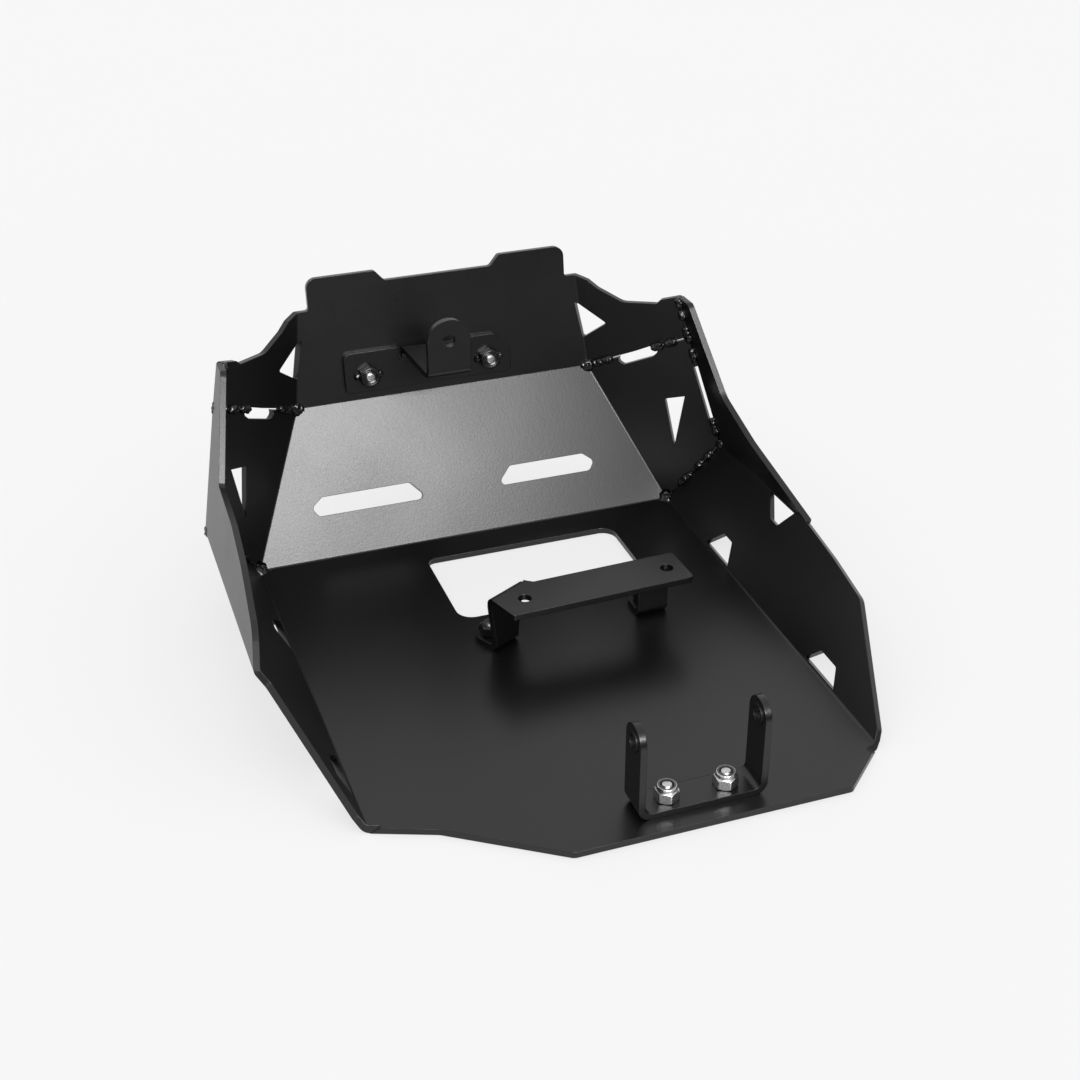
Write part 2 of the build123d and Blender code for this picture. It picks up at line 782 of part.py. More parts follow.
for places, carrier, group in (
    (front_seats, front_bracket.part, "front"),
    (mid_seats, mid_bracket.part, "mid"),
):
    nuts = []
    for place, name in zip(places, ("left", "right")):
        shank = bolt(place, weld_nut_height)
        shank.label = group + "_bolt_" + name
        export_step(shank, "parts/" + shank.label + ".step")
        nuts.append(weld_nut(place, group + "_nut_" + name))
    tacks(places, carrier, nuts, group + "_tack_welds")

for place, name in zip(rear_seats, ("left", "right")):
    shank = bolt(place, lock_nut_height)
    shank.label = "rear_bolt_" + name
    export_step(shank, "parts/" + shank.label + ".step")
    collar_seat = place.offset(lock_nut_height - lock_collar_height)
    with BuildPart() as lock_nut:
        add(hexagon(place, lock_nut_height - lock_collar_height, True))
        with BuildSketch(collar_seat):
            RegularPolygon(nut_land, turned_sides)
            RegularPolygon(lock_ring_radius, turned_sides, mode=Mode.SUBTRACT)
        extrude(amount=lock_collar_height)
    lock_nut.part.label = "rear_nut_" + name
    export_step(lock_nut.part, "parts/rear_nut_" + name + ".step")
    with BuildPart() as ring:
        with BuildSketch(collar_seat):
            RegularPolygon(lock_ring_radius, turned_sides)
            RegularPolygon(thread_radius + thread_fit, turned_sides, mode=Mode.SUBTRACT)
        extrude(amount=lock_collar_height)
    ring.part.label = "rear_nut_ring_" + name
    export_step(ring.part, "parts/rear_nut_ring_" + name + ".step")


# Welds along the open seams, seated in the slits and ground flush outside
def rod(start, along, radius, length, sides):
    """A short many-sided rod of weld metal with bevelled ends."""
    with BuildPart() as made:
        with BuildSketch(Plane(origin=start, z_dir=along)):
            RegularPolygon(radius, sides)
        extrude(amount=length)
        ends = made.faces().filter_by(Plane(origin=start, z_dir=along))
        chamfer(ends.edges(), 0.35 * radius)
    return made.part


def weld_run(start, end, beads, first, second, blobs, label):
    inward = unit(Vector(first.z_dir) + Vector(second.z_dir))
    along = unit(end - start)
    rods = []
    for low, high in beads:
        a = start + (end - start) * low + inward * bead_lift - along * (bead_radius / 2)
        rods.append(rod(a, along, bead_radius, (end - start).length * (high - low) + bead_radius, 6))
    for centre, outward, radius in blobs:
        top = centre - outward * (radius / 2)
        rods.append(rod(top, outward, radius, 1.2 * sheet + radius, 8))
    with BuildPart() as run:
        for metal in rods:
            add(metal)
        add(outside.part, mode=Mode.INTERSECT)
        add(skid_pan.part, mode=Mode.SUBTRACT)
    for side, name in ((1, "right"), (-1, "left")):
        solid = run.part if side > 0 else mirror(run.part, about=Plane.YZ)
        solid.label = label + "_" + name
        export_step(solid, "parts/" + solid.label + ".step")
        print(solid.label, len(solid.solids()), [round(s.volume, 1) for s in solid.solids()])


def corner_blob(corner, planes, radius):
    """A blob that plugs a corner relief through the whole sheet."""
    outward = Vector(0, 0, 0)
    for plane in planes:
        outward = outward - Vector(plane.z_dir)
    return (corner, unit(outward), radius)


lower_blob = corner_blob(
    lower_corner, (bottom_plane, slope_plane, wing_plane), lower_relief + blob_margin
)
upper_blob = corner_blob(
    upper_corner, (slope_plane, upper_plane, cheek_plane, ear_plane), upper_relief + blob_margin
)
side_blob = corner_blob(side_corner, (wing_plane, flange_plane, cheek_plane), side_relief + blob_margin)
weld_run(*seams[3][:2], upper_seam_beads, *seams[3][2:], [upper_blob], "weld_upper_seam")
weld_run(
    *seams[2][:2],
    top_seam_beads,
    *seams[2][2:],
    [corner_blob(outer_corner, (ear_plane, flange_plane, cheek_plane), corner_blob_radius)],
    "weld_top_seam",
)
weld_run(*seams[1][:2], side_seam_beads, *seams[1][2:], [], "weld_side_seam")
weld_run(*seams[0][:2], lower_seam_beads, *seams[0][2:], [lower_blob, side_blob], "weld_lower_seam")
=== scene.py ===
# %% [markdown]
# # Dressing a motorcycle skid plate
# A skid plate is an open tray of 4 mm aluminium sheet that hangs under an engine. Its blank is cut
# by laser, its panels are folded up on a press brake, the open corners are welded, and the whole
# tray is powder coated satin black. Three folded steel brackets are bolted inside it. The solids
# come from CAD and are the fixed frame. Here they get their real finishes. The small parts that
# need finer shapes than CAD carries, such as weld metal, turned nuts and threads, are modelled as
# meshes that stand in the same places.

# %% Load the frame
import math

import bmesh
import bpy
from mathutils import Matrix, Vector, noise


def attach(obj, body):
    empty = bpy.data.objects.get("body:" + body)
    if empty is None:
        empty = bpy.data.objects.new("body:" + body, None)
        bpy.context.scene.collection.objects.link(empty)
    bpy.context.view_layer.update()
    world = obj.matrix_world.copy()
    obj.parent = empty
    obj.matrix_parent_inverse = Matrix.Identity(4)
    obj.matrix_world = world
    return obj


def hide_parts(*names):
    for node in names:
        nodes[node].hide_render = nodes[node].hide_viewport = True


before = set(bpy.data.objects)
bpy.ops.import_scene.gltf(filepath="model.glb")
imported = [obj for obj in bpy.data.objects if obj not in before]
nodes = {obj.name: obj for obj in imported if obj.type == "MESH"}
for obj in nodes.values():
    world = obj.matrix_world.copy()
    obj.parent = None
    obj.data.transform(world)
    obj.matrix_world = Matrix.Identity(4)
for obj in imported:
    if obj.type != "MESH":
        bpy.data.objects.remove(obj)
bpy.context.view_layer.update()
MM = 0.001

# %% [markdown]
# The camera comes first, because every later choice is judged through it. A product photographer
# stands close behind the tray with a short telephoto lens. The eye, its direction and the lens were
# solved from the tray's own straight edges, so that each outline falls where it does in the
# photograph. Moving a camera by eye until it fits takes longer and is never quite right.

# %% Set up the camera
EYE = Vector((-0.31402, -0.85515, 0.63754))
LOOKING = Vector((0.2887, 0.8090, -0.5120)).normalized()
FOCAL_MM = 58.93
SENSOR_MM = 36.0
NEAREST_MM = 20.0

lens = bpy.data.cameras.new("product_camera")
lens.lens = FOCAL_MM
lens.sensor_width = SENSOR_MM
lens.clip_start = NEAREST_MM * MM
camera = bpy.data.objects.new("product_camera", lens)
camera.location = EYE
camera.rotation_euler = LOOKING.to_track_quat("-Z", "Y").to_euler()
bpy.context.scene.collection.objects.link(camera)
bpy.context.scene.camera = camera
bpy.context.scene.view_settings.view_transform = "Standard"
print("camera looks along", [round(v, 3) for v in LOOKING])

# %% [markdown]
# Blender's shaders work in linear light, while colours are picked on screens as sRGB hex values.
# One small function turns a hex value into linear light. A second one adds a shader node with its
# settings, its constant values and its links in one call, which keeps every material below short
# enough to read. A third starts a material with the one shader that each finish here needs.


# %% Colour and node helpers
def linear(hex_colour):
    """An sRGB hex colour as linear red, green, blue and alpha."""
    channels = [int(hex_colour[i : i + 2], 16) / 255 for i in (1, 3, 5)]
    bright = [c / 12.92 if c <= 0.04045 else ((c + 0.055) / 1.055) ** 2.4 for c in channels]
    return (*bright, 1.0)


def add(tree, kind, values=None, links=None, **settings):
    """A new shader node with its settings, constant inputs and incoming links."""
    node = tree.nodes.new(kind)
    for name, value in settings.items():
        setattr(node, name, value)
    for socket, value in (values or {}).items():
        node.inputs[socket].default_value = value
    for socket, source in (links or {}).items():
        tree.links.new(source, node.inputs[socket])
    return node


def finish(name, values):
    """A material of one Principled shader. Returns the material, its node tree and the shader."""
    material = bpy.data.materials.new(name)
    material.use_nodes = True
    tree = material.node_tree
    tree.nodes.clear()
    shader = add(tree, "ShaderNodeBsdfPrincipled", values)
    add(tree, "ShaderNodeOutputMaterial", links={"Surface": shader.outputs["BSDF"]})
    return material, tree, shader


print("middle grey in linear light:", [round(c, 3) for c in linear("#808080")])

# %% [markdown]
# The room is a white tent over a white paper floor, as for a catalogue picture. Satin black shows
# hardly any colour of its own. What the eye reads is the light that it mirrors: the flat base and
# the bar mirror the tent, while the upright plate and the wings mirror the black base and stay
# dark. The paper is lifted towards white where a camera, gloss or a clear path sees it, and it
# keeps its shadows. A curved backdrop would also do, but a flat floor under an even sky looks the
# same from every side.

# %% Lay the paper and light the tent
FLOOR_REACH = 9.0
FLOOR_GAP_MM = 0.4
PAPER_CLOUDS = 90.0  # over the whole floor, so each is 0.2 m across
PAPER_LIFT = 0.72  # how much of what the camera sees is plain white

reach = FLOOR_REACH
corners = [(-reach, -reach, 0), (reach, -reach, 0), (reach, reach, 0), (-reach, reach, 0)]
floor_mesh = bpy.data.meshes.new("floor")
floor_mesh.from_pydata(corners, [], [(0, 1, 2, 3)])
floor = bpy.data.objects.new("floor", floor_mesh)
floor.location.z = -FLOOR_GAP_MM * MM
bpy.context.scene.collection.objects.link(floor)

paper, tree, shader = finish(
    "matt_paper_sweep", {"Roughness": 0.9, "IOR": 1.4, "Specular IOR Level": 0.1}
)
grain = add(tree, "ShaderNodeTexNoise", {"Scale": PAPER_CLOUDS, "Detail": 2.0})
tone = add(
    tree,
    "ShaderNodeMix",
    {"A": linear("#f7f7f7"), "B": linear("#f9f9f9")},
    {"Factor": grain.outputs["Fac"]},
    data_type="RGBA",
)
tree.links.new(tone.outputs["Result"], shader.inputs["Base Color"])
glow = add(tree, "ShaderNodeEmission", {"Color": linear("#fafafa"), "Strength": 1.0})
path = add(tree, "ShaderNodeLightPath")
seen = path.outputs["Is Camera Ray"]
for ray in ("Is Glossy Ray", "Is Transmission Ray"):
    either = add(
        tree, "ShaderNodeMath", links={0: seen, 1: path.outputs[ray]}, operation="MAXIMUM"
    )
    seen = either.outputs["Value"]
share = add(tree, "ShaderNodeMath", {1: PAPER_LIFT}, {0: seen}, operation="MULTIPLY")
lifted = add(
    tree,
    "ShaderNodeMixShader",
    links={"Fac": share.outputs["Value"], 1: shader.outputs["BSDF"], 2: glow.outputs["Emission"]},
)
tree.links.new(lifted.outputs["Shader"], tree.nodes["Material Output"].inputs["Surface"])
floor_mesh.materials.append(paper)

world = bpy.data.worlds.new("pale_room")
bpy.context.scene.world = world
world.use_nodes = True
sky = world.node_tree
sky.nodes.clear()
air = add(sky, "ShaderNodeBackground", {"Color": linear("#f8f8f8"), "Strength": 1.0})
add(sky, "ShaderNodeOutputWorld", links={"Surface": air.outputs["Background"]})
print("floor", 2 * reach, "m square, room strength", air.inputs["Strength"].default_value)

# %% [markdown]
# The one soft box matters by its place more than by its power. It hangs above and behind the
# camera, near the tray's middle line, where only the sloped front panel mirrors it. It lights the
# gloss alone, so the paper keeps its even white. A black card below the lens and a black curtain
# behind it are what the upright plate mirrors, and they keep it dark. Photographers call such
# sheets flags. These are seen by gloss alone, so they throw no shadow.


# %% Hang the soft box and the black flags
def soft_box(name, target, direction, distance, width, height, power):
    """A rectangular lamp that faces the target from the given direction."""
    data = bpy.data.lights.new(name, "AREA")
    data.shape = "RECTANGLE"
    data.size = width
    data.size_y = height
    data.energy = power
    lamp = bpy.data.objects.new(name, data)
    away = Vector(direction).normalized()
    lamp.location = Vector(target) + away * distance
    lamp.rotation_euler = away.to_track_quat("Z", "Y").to_euler()
    bpy.context.scene.collection.objects.link(lamp)
    return lamp


def black_flag(name, corners):
    """A sheet of black felt that only gloss can see."""
    mesh = bpy.data.meshes.new(name)
    mesh.from_pydata(corners, [], [(0, 1, 2, 3)])
    mesh.materials.append(felt)
    flag = bpy.data.objects.new(name, mesh)
    bpy.context.scene.collection.objects.link(flag)
    flag.visible_camera = flag.visible_diffuse = False
    flag.visible_shadow = flag.visible_transmission = False


SLOPE_MIDDLE = (0.0, 0.196, 0.048)
CARD = [(-0.7, -0.34, 0.0), (1.3, -0.34, 0.0), (1.9, -1.25, 0.6), (-1.3, -1.25, 0.6)]
CURTAIN = [(-3.5, -2.4, 0.0), (3.5, -2.4, 0.0), (3.5, -2.4, 3.0), (-3.5, -2.4, 3.0)]

key_box = soft_box(
    "key_soft_box",
    SLOPE_MIDDLE,
    direction=(-0.045, -0.84, 0.52),
    distance=1.9,
    width=1.25,
    height=0.50,
    power=54.0,
)
key_box.visible_diffuse = False
felt, tree, shader = finish(
    "matt_black_felt", {"Roughness": 1.0, "Base Color": linear("#101010")}
)
black_flag("black_card", CARD)
black_flag("black_curtain", CURTAIN)
print("lamp:", key_box.name, "at", [round(v, 2) for v in key_box.location])

# %% [markdown]
# Powder coating is dry paint, sprayed as charged powder and baked until it flows. It never flows
# quite flat, so a satin coat has a faint orange peel, with bumps about a millimetre across, and a
# fine sparkle of unevenly matt grains. It also draws back a little from sharp edges and rounds
# them to about half a millimetre, which gives every cut edge a thin light line. A Bevel node gives
# that rounding in shading alone, so the solids keep their sizes. Real grit and peel are finer than
# a pixel of the picture, so they are drawn as coarse as they need to show, the grit at 1 mm and
# the peel at 1.5 mm. Slow clouds about 70 mm across keep wide panels from looking printed.

# %% Powder coat
GRIT_MM = 1.0
PEEL_MM = 1.5
PEEL_DEPTH_MM = 0.09
CLOUDS_PER_M = 14.0
EVEN_SHARE = 0.35  # the least that any grain has of the lighter tone
GLOSS_SPREAD = 0.06
EDGE_SAMPLES = 6


def powder_coat(name, dark, light, roughness, peel, edge_mm):
    """Baked powder coat: two tones of grit, a peel bump and softly rounded edges."""
    coat, tree, shader = finish(name, {"IOR": 1.5, "Metallic": 0.0, "Specular IOR Level": 0.5})
    place = add(tree, "ShaderNodeTexCoord").outputs["Object"]
    grit_scale = {"Scale": 1 / (GRIT_MM * MM), "Detail": 3.0}
    grit = add(tree, "ShaderNodeTexNoise", grit_scale, {"Vector": place})
    cloud_scale = {"Scale": CLOUDS_PER_M, "Detail": 4.0}
    cloud = add(tree, "ShaderNodeTexNoise", cloud_scale, {"Vector": place})
    both = add(
        tree,
        "ShaderNodeMath",
        {2: EVEN_SHARE},
        {0: grit.outputs["Fac"], 1: cloud.outputs["Fac"]},
        operation="MULTIPLY_ADD",
    )
    tone = add(
        tree,
        "ShaderNodeMix",
        {"A": linear(dark), "B": linear(light)},
        {"Factor": both.outputs["Value"]},
        data_type="RGBA",
    )
    gloss_range = {
        "From Min": EVEN_SHARE,
        "From Max": 1.0,
        "To Min": roughness - GLOSS_SPREAD,
        "To Max": roughness + GLOSS_SPREAD,
    }
    gloss = add(tree, "ShaderNodeMapRange", gloss_range, {"Value": both.outputs["Value"]})
    peel_scale = {"Scale": 1 / (PEEL_MM * MM), "Detail": 2.0}
    bumps = add(tree, "ShaderNodeTexNoise", peel_scale, {"Vector": place})
    edges = add(tree, "ShaderNodeBevel", {"Radius": edge_mm * MM}, samples=EDGE_SAMPLES)
    peel_bump = add(
        tree,
        "ShaderNodeBump",
        {"Strength": peel, "Distance": PEEL_DEPTH_MM * MM},
        {"Height": bumps.outputs["Fac"], "Normal": edges.outputs["Normal"]},
    )
    tree.links.new(tone.outputs["Result"], shader.inputs["Base Color"])
    tree.links.new(gloss.outputs["Result"], shader.inputs["Roughness"])
    tree.links.new(peel_bump.outputs["Normal"], shader.inputs["Normal"])
    return coat


COAT = "satin_black_powder_coat_on_"
sheet_coat = powder_coat(COAT + "sheet", "#050505", "#0b0b0b", 0.34, peel=0.4, edge_mm=0.55)
strip_coat = powder_coat(COAT + "steel_strip", "#040404", "#090909", 0.32, peel=0.4, edge_mm=0.7)
weld_coat = powder_coat(COAT + "weld_metal", "#060606", "#0e0e0e", 0.26, peel=1.0, edge_mm=0.55)
nut_coat = powder_coat(COAT + "nuts", "#060606", "#0e0e0e", 0.28, peel=0.6, edge_mm=0.35)
print("coats:", sheet_coat.name, strip_coat.name, weld_coat.name, nut_coat.name)

# %% [markdown]
# Zinc plating is a thin bright metal layer on steel. Tumbled in drums with other nuts, it gets tiny
# scuffs, so its gloss is uneven and its grey is a little patchy. Nylon is the locking ring that is
# crimped into a lock nut. It's a soft, slightly translucent plastic that sits deep in the collar.
# Its dark grey is partly its own colour and partly painted shade for that recess. The bushes in the
# ears are turned steel with a thin dark oil finish. One function makes both metals, because they
# differ only in tone, gloss and the size of the scuffs.

# %% Zinc, nylon and oiled steel
SCUFF_STRENGTH = 0.25
SCUFF_DEPTH_MM = 0.03
METAL_EDGE_MM = 0.25
SMOOTHER = 0.06  # how far the gloss departs from its plain value, to either side
ROUGHER = 0.10
NYLON_CUT_MM = 0.6


def plated(name, dark, light, roughness, scuff_mm):
    """Plated or oiled metal with scuffs of a given size."""
    metal, tree, shader = finish(name, {"Metallic": 1.0})
    place = add(tree, "ShaderNodeTexCoord").outputs["Object"]
    scuff_scale = {"Scale": 1 / (scuff_mm * MM), "Detail": 4.0}
    scuffs = add(tree, "ShaderNodeTexNoise", scuff_scale, {"Vector": place})
    tone = add(
        tree,
        "ShaderNodeMix",
        {"A": linear(dark), "B": linear(light)},
        {"Factor": scuffs.outputs["Fac"]},
        data_type="RGBA",
    )
    gloss_range = {"To Min": roughness - SMOOTHER, "To Max": roughness + ROUGHER}
    gloss = add(tree, "ShaderNodeMapRange", gloss_range, {"Value": scuffs.outputs["Fac"]})
    edges = add(tree, "ShaderNodeBevel", {"Radius": METAL_EDGE_MM * MM}, samples=EDGE_SAMPLES)
    dents = add(
        tree,
        "ShaderNodeBump",
        {"Strength": SCUFF_STRENGTH, "Distance": SCUFF_DEPTH_MM * MM},
        {"Height": scuffs.outputs["Fac"], "Normal": edges.outputs["Normal"]},
    )
    tree.links.new(tone.outputs["Result"], shader.inputs["Base Color"])
    tree.links.new(gloss.outputs["Result"], shader.inputs["Roughness"])
    tree.links.new(dents.outputs["Normal"], shader.inputs["Normal"])
    return metal


zinc = plated("bright_zinc_plate", "#b4b6b6", "#d9dad8", roughness=0.27, scuff_mm=0.9)
oiled_steel = plated("oiled_dark_steel", "#2c2c2e", "#4a4a4b", roughness=0.42, scuff_mm=0.7)

nylon, tree, shader = finish("nylon_ring_with_painted_shade", {"Roughness": 0.5, "IOR": 1.53})
place = add(tree, "ShaderNodeTexCoord").outputs["Object"]
cut_scale = {"Scale": 1 / (NYLON_CUT_MM * MM), "Detail": 2.0}
cuts = add(tree, "ShaderNodeTexNoise", cut_scale, {"Vector": place})
# The ring's dark grey is partly the nylon's own colour and partly painted shade for the collar's
# recess.
tone = add(
    tree,
    "ShaderNodeMix",
    {"A": linear("#3a3b3c"), "B": linear("#565758")},
    {"Factor": cuts.outputs["Fac"]},
    data_type="RGBA",
)
tree.links.new(tone.outputs["Result"], shader.inputs["Base Color"])
print("bright and dark parts:", zinc.name, oiled_steel.name, nylon.name)

# %% [markdown]
# The tray, the brackets, the bushes and the nylon rings have their right shapes in CAD, so they
# stay and only get their finish. They could be rebuilt as meshes too, but nothing would look
# better for it. Putting the material in the first slot of each mesh is enough.

# %% Dress the CAD solids
dressed = {
    "skid_pan": sheet_coat,
    "front_bracket": strip_coat,
    "mid_bracket": strip_coat,
    "rear_bracket": strip_coat,
    "rear_bush_left": oiled_steel,
    "rear_bush_right": oiled_steel,
    "rear_nut_ring_left": nylon,
    "rear_nut_ring_right": nylon,
}
for name, material in dressed.items():
    nodes[name].data.materials.clear()
    nodes[name].data.materials.append(material)
print("dressed:", len(dressed))

# %% [markdown]
# A seam here is welded in short runs. A thin first pass, the root run, closes the gap between two
# sheets, and rounded drops of metal are laid over it. The CAD solid holds the place and size of
# each drop as a faceted rod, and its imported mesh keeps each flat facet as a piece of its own. So a
# slim rod is laid from the middle of each facet to the middle of the next one along the seam,
# wherever the two are close enough to be one weld. On a drop these rods add a little metal, as
# passes laid over each other do, and between two drops they are the root run. Modelling the root
# run by itself would take a route of its own for each seam.

# %% Find the facets and lay the root run
ROOT_MM = 0.75
ROOT_SIDES = 6
LONGEST_ROOT_MM = 26.0


def facet_middles(mesh):
    """The middle of each group of joined vertices, which is one facet, in order along the seam."""
    cell = bmesh.new()
    cell.from_mesh(mesh)
    cell.verts.index_update()
    taken = set()
    middles = []
    for first in cell.verts:
        if first.index in taken:
            continue
        taken.add(first.index)
        group = [first]
        for vertex in group:
            for edge in vertex.link_edges:
                other = edge.other_vert(vertex)
                if other.index not in taken:
                    taken.add(other.index)
                    group.append(other)
        middles.append(sum((v.co for v in group), Vector()) / len(group))
    cell.free()
    pairs = ((a, b) for a in middles for b in middles)
    start, end = max(pairs, key=lambda pair: (pair[0] - pair[1]).length)
    return sorted(middles, key=lambda p: (p - start).dot(end - start))


def root_run(mesh):
    """Adds a slim rod from each facet to the next one that is close enough to be the same weld."""
    places = facet_middles(mesh)
    cell = bmesh.new()
    cell.from_mesh(mesh)
    for a, b in zip(places, places[1:]):
        run = b - a
        if run.length > LONGEST_ROOT_MM * MM:
            continue
        turn = run.to_track_quat("Z", "Y").to_matrix().to_4x4()
        bmesh.ops.create_cone(
            cell,
            cap_ends=True,
            segments=ROOT_SIDES,
            radius1=ROOT_MM * MM,
            radius2=ROOT_MM * MM,
            depth=run.length,
            matrix=Matrix.Translation((a + b) / 2) @ turn,
        )
    cell.to_mesh(mesh)
    cell.free()


print("root run", 2 * ROOT_MM, "mm thick, over gaps up to", LONGEST_ROOT_MM, "mm")

# %% [markdown]
# Weld metal freezes in rounded drops that run into each other and into the sheet. The mesh is
# rebuilt from small cubes, smoothed until the facets melt together, and pushed in and out by noise
# with bumps of about 2 mm, the size of a weld ripple. Nothing of it may reach below the flat
# underside, as if it were ground off there. Sculpting each drop by hand would look as good but
# would not follow a changed model.

# %% Grow the weld metal
MELT = 0.5
MELT_STEPS = 5
FINE_SIZE = 0.4  # of the ripple's size
FINE_SHARE = 0.35  # of the ripple's height


def weld_metal(name, slot, rooted, cube_mm, ripple_mm, height_mm, swell_mm):
    """A rounded, rippled copy of a CAD weld that replaces it. Returns its number of faces."""
    bead = bpy.data.objects.new(name + "_metal", nodes[name].data.copy())
    bpy.context.scene.collection.objects.link(bead)
    if rooted:
        root_run(bead.data)
    rebuild = bead.modifiers.new("rebuild", "REMESH")
    rebuild.mode = "VOXEL"
    rebuild.voxel_size = cube_mm * MM
    melt = bead.modifiers.new("melt", "SMOOTH")
    melt.factor = MELT
    melt.iterations = MELT_STEPS
    graph = bpy.context.evaluated_depsgraph_get()
    mesh = bpy.data.meshes.new_from_object(bead.evaluated_get(graph))
    bead.modifiers.clear()
    bead.data = mesh
    pushes = []
    for vertex in mesh.vertices:
        ripple = noise.noise(vertex.co / (ripple_mm * MM))
        fine = noise.noise(vertex.co / (FINE_SIZE * ripple_mm * MM))
        lift_mm = (ripple + FINE_SHARE * fine) * height_mm + swell_mm
        pushes.append(vertex.normal * lift_mm * MM)
    for vertex, push in zip(mesh.vertices, pushes):
        vertex.co += push
        vertex.co.z = max(vertex.co.z, 0.0)
    mesh.shade_smooth()
    mesh.materials.clear()
    mesh.materials.append(weld_coat)
    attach(bead, "root")
    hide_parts(name)
    return len(mesh.polygons)


seam_bead = {"cube_mm": 0.5, "ripple_mm": 2.2, "height_mm": 0.75, "swell_mm": 0.6}
tack_bead = {"cube_mm": 0.35, "ripple_mm": 1.8, "height_mm": 0.55, "swell_mm": 0.25}
for seam in ("upper", "top", "side", "lower"):
    for side in ("left", "right"):
        name = "weld_" + seam + "_seam_" + side
        print(name, weld_metal(name, "coated_weld", True, **seam_bead), "faces")
for group in ("front", "mid"):
    name = group + "_tack_welds"
    print(name, weld_metal(name, "coated_tack", False, **tack_bead), "faces")

# %% [markdown]
# Nuts and bolts are turned parts, so each is built as rings round one axis. A ring's radius may
# change with the angle, which gives a hexagon, and the smaller of a hexagon and a cone gives the
# curved corners that a chamfering tool leaves. The axis, the ends and the corners' direction are
# read from the CAD solid that the piece replaces, so it can't drift from its place.

# %% Measure a turned part and build its rings
FLATS = 13.0
UNCUT = math.inf


def measure(name, axis):
    """Where a turned CAD solid starts, as a matrix with a corner along x, and its length in mm."""
    axis = Vector(axis).normalized()
    points = [v.co.copy() for v in nodes[name].data.vertices]
    low = min(p.dot(axis) for p in points)
    high = max(p.dot(axis) for p in points)
    across = axis.orthogonal().normalized()
    middle = Vector()
    for d in (across, axis.cross(across)):
        middle += d * (min(p.dot(d) for p in points) + max(p.dot(d) for p in points)) / 2
    corner = max(points, key=lambda p: (p - middle - axis * p.dot(axis)).length)
    corner = (corner - middle - axis * corner.dot(axis)).normalized()
    base = middle + axis * low
    turn = Matrix((corner, axis.cross(corner), axis)).transposed().to_4x4()
    return Matrix.Translation(base) @ turn, (high - low) / MM


def turned(name, place, rows, segments, material):
    """A closed part of rings that replaces a node. A row is a height in mm and a radius in mm,
    or a function from the angle to the radius."""
    points = []
    for height, radius in rows:
        for step in range(segments):
            angle = 2 * math.pi * step / segments
            r = radius(angle) if callable(radius) else radius
            points.append(Vector((r * math.cos(angle), r * math.sin(angle), height)) * MM)
    faces = [tuple(reversed(range(segments))), tuple(range(len(points) - segments, len(points)))]
    for row in range(len(rows) - 1):
        for step in range(segments):
            a = row * segments + step
            b = row * segments + (step + 1) % segments
            faces.append((a, b, b + segments, a + segments))
    mesh = bpy.data.meshes.new(name + "_turned")
    mesh.from_pydata([place @ p for p in points], [], faces)
    mesh.shade_smooth()
    mesh.materials.append(material)
    part = bpy.data.objects.new(name + "_turned", mesh)
    bpy.context.scene.collection.objects.link(part)
    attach(part, "root")
    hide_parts(name)


def hexagon(flats, limit):
    """The radius of a hexagon cut back to a circle of the given radius."""
    return lambda angle: min(limit, flats / 2 / math.cos(angle % (math.pi / 3) - math.pi / 6))


print("hexagon of 13 mm, corner radius", round(hexagon(FLATS, UNCUT)(0.0), 2), "mm")

# %% [markdown]
# A weld nut and a lock nut share their hexagon, 13 mm across the flats for an 8 mm thread. The
# lock nut also has a thin collar, rolled in over the nylon ring. Rows of rings close together make
# crisp edges between smooth faces, and the bore ends in a countersink where the thread starts.

# %% Make the nuts
THREAD_R = 4.0
BORE_R = THREAD_R + 0.1
UPPER_LEAN = math.radians(82.2)
UPPER_AXIS = (0.0, -math.sin(UPPER_LEAN), math.cos(UPPER_LEAN))
UP = (0.0, 0.0, 1.0)
LAND_R = 6.1
CHAMFER_STEPS = (0.0, 0.12, 0.3, 0.5, 0.75, 1.0)
CHAMFER_SLOPE = math.tan(math.radians(60))
MOUTH_R = 5.3
MOUTH_DEPTH = 1.1
COLLAR_HEIGHT = 2.6
COLLAR_R = 5.9
LIP_R = 4.8
RING_R = 5.15
NUT_SIDES = 72
LOCK_NUT_SIDES = 96


def chamfered_hexagon(height):
    """Rows of a hexagon whose two ends are turned to a 30 degree cone."""
    cut = [(z, hexagon(FLATS, LAND_R + z * CHAMFER_SLOPE)) for z in CHAMFER_STEPS]
    return cut + [(height - z, radius) for z, radius in reversed(cut)]


def countersink(height):
    """Rows from the top face of a weld nut into the mouth of its bore."""
    rows = [(height, MOUTH_R), (height - 0.1, MOUTH_R - 0.15)]
    return rows + [(height - MOUTH_DEPTH, BORE_R + 0.02)]


def rolled_collar(shoulder, height):
    """Rows up the collar of a lock nut, over its rolled lip and down to the seat of the ring. Each
    stretch is written as steps up or down and out from its own end and radius."""
    wall = [(0.0, 0.25), (0.15, 0.05), (0.5, 0.0), (1.4, -0.02)]
    roll = [(0.6, -0.1), (0.2, -0.3), (0.0, -0.6), (0.0, -0.8)]
    lip = [(0.2, 0.05), (0.5, 0.0), (0.6, 0.3)]
    rows = [(shoulder + up, COLLAR_R + out) for up, out in wall]
    rows += [(height - down, COLLAR_R + out) for down, out in roll]
    rows += [(height - down, LIP_R + out) for down, out in lip]
    return rows + [(shoulder, RING_R)]


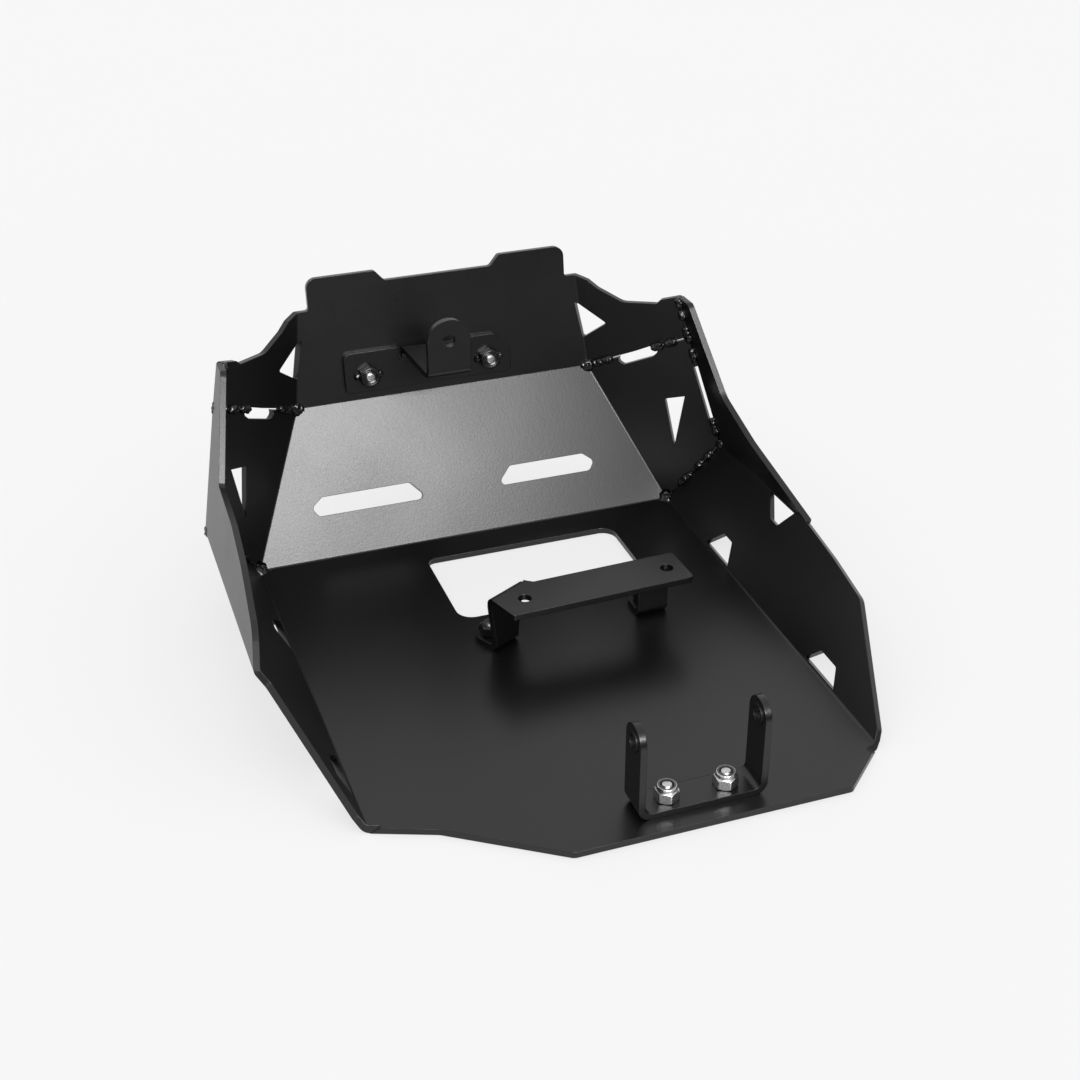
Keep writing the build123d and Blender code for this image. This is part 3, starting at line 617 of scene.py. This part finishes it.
for group, axis in (("front", UPPER_AXIS), ("mid", UP)):
    for side in ("left", "right"):
        name = group + "_nut_" + side
        place, height = measure(name, axis)
        rows = [(0.0, BORE_R)] + chamfered_hexagon(height) + countersink(height)
        turned(name, place, rows, NUT_SIDES, nut_coat)
        print(name, "height", round(height, 2), "mm")
for side in ("left", "right"):
    name = "rear_nut_" + side
    place, height = measure(name, UP)
    shoulder = height - COLLAR_HEIGHT
    rows = [(0.0, BORE_R)] + chamfered_hexagon(shoulder)[:-1] + rolled_collar(shoulder, height)
    turned(name, place, rows, LOCK_NUT_SIDES, zinc)
    print(name, "height", round(height, 2), "mm")

# %% [markdown]
# An 8 mm bolt has a thread that climbs 1.25 mm with each turn. Each ring's radius follows a rounded
# saw-tooth that shifts with the angle, so the rings together make one true helix. Only the end that
# stands above the nut shows it. The other end is a countersunk head, flush with the outside of the
# sheet, with a 5 mm hexagon socket for the key.

# %% Make the bolts
PITCH = 1.25
THREAD_DEPTH = 0.55
THREAD_PLAY = 0.05
THREADED = 6.0
THREAD_END = 1.8  # where the thread stops, measured back from the bolt's end
RINGS_PER_TURN = 8
SOCKET = 5.0
SOCKET_DEPTH = 3.2
SOCKET_BREAK = 0.25
HEAD_R = 8.2
HEAD_EDGE = ((0.0, 0.25), (0.12, 0.03), (0.4, 0.3))  # up from the face, in from the radius
NECK_R = 4.2
NECK = HEAD_R - NECK_R
POINT = ((1.6, 3.6), (0.5, 2.95), (0.1, 2.75), (0.0, 2.55), (0.0, 0.3))  # back from the end, radius
BOLT_SIDES = 48


def thread(height):
    """The radius of the thread at one height, as a function of the angle."""

    def radius(angle):
        turn = (height / PITCH - angle / (2 * math.pi)) % 1.0
        groove = max(0.0, 1 - abs(2 * turn - 1) * 2)
        return THREAD_R - THREAD_PLAY - THREAD_DEPTH * groove

    return radius


def bolt_rows(length):
    """Rows from the floor of the socket, over the head and along the shank to the threaded end."""
    socket = hexagon(SOCKET, UNCUT)
    rows = [(SOCKET_DEPTH, 0.4), (SOCKET_DEPTH, socket), (SOCKET_BREAK, socket)]
    rows += [(0.0, lambda angle: socket(angle) + SOCKET_BREAK)]
    rows += [(up, HEAD_R - inset) for up, inset in HEAD_EDGE]
    height = length - THREADED
    rows += [(NECK, NECK_R), (NECK + 0.2, THREAD_R), (height, THREAD_R - THREAD_PLAY)]
    while height < length - THREAD_END:
        height += PITCH / RINGS_PER_TURN
        rows.append((height, thread(height)))
    return rows + [(length - back, radius) for back, radius in POINT]


for group, axis in (("front", UPPER_AXIS), ("mid", UP), ("rear", UP)):
    for side in ("left", "right"):
        name = group + "_bolt_" + side
        place, length = measure(name, axis)
        turned(name, place, bolt_rows(length), BOLT_SIDES, zinc)
        print(name, "length", round(length, 2), "mm")
